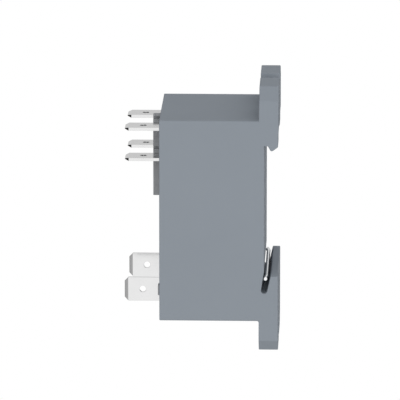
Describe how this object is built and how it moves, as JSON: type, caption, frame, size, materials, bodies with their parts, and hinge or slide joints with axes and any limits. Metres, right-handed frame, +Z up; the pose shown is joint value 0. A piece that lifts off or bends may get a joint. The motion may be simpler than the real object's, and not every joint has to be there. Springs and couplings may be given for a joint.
{
  "type": "power relay",
  "caption": "Enclosed power relay with quick-connect tabs on its front, a moulded flange with screw slots and a clip for a mounting rail on its back.",
  "frame": {"origin": "midway between the two screw slots, on the plane of the flange's back", "axes": "+Z up as mounted, along the flange; +Y out of the back towards the panel or rail; +X to the right seen from the tabs"},
  "size_m": [0.034, 0.0398, 0.07],
  "materials": {
    "housing_plastic": "moulded grey thermoplastic, fine matt texture",
    "base_plastic": "moulded lighter grey thermoplastic",
    "bobbin_plastic": "moulded black thermoplastic",
    "tinned_brass": "bright tinned brass",
    "spring_wire": "drawn spring steel wire",
    "iron": "zinc-plated soft iron",
    "leaf_steel": "rolled spring steel",
    "rivet_steel": "plated steel",
    "silver_alloy": "silver contact alloy",
    "copper_alloy": "rolled copper alloy",
    "copper_wire": "enamelled copper wire",
    "copper_braid": "woven copper braid",
    "tape": "polyester coil tape"
  },
  "bodies": {
    "case": {"housing": "housing_plastic", "terminal_base": "base_plastic", "yoke": "iron", "core": "iron", "bobbin": "bobbin_plastic", "coil_winding": "copper_wire", "coil_tape": "tape", "hinge_spring": "leaf_steel", "spring_rivets": "rivet_steel", "com_terminal_left": "tinned_brass", "no_terminal_left": "tinned_brass", "coil_terminal_left": "tinned_brass", "fixed_contact_left": "silver_alloy", "coil_lead_left": "copper_wire", "braid_left": "copper_braid", "com_terminal_right": "tinned_brass", "no_terminal_right": "tinned_brass", "coil_terminal_right": "tinned_brass", "fixed_contact_right": "silver_alloy", "coil_lead_right": "copper_wire", "braid_right": "copper_braid"},
    "armature": {"armature": "iron", "contact_carrier": "bobbin_plastic", "carrier_rivets": "rivet_steel", "moving_arm_left": "copper_alloy", "moving_arm_right": "copper_alloy", "moving_contact_left": "silver_alloy", "moving_contact_right": "silver_alloy"},
    "din_spring": {"din_spring": "spring_wire"}
  },
  "joints": [
    {"name": "armature_hinge", "type": "hinge", "parent": "case", "child": "armature", "pos_m": [0, -0.0071, 0.002], "axis": [1, 0, 0], "range_deg": [0, 5.3], "stiffness_Nm_per_rad": 0.02, "springref_deg": -17.19, "deforming": ["hinge_spring", "braid_left", "braid_right"]},
    {"name": "din_spring_press", "type": "slide", "parent": "case", "child": "din_spring", "axis": [0, -0.1076, -0.9942], "range_m": [0, 0.002], "stiffness_N_per_m": 1000, "springref_m": -0.0005}
  ]
}
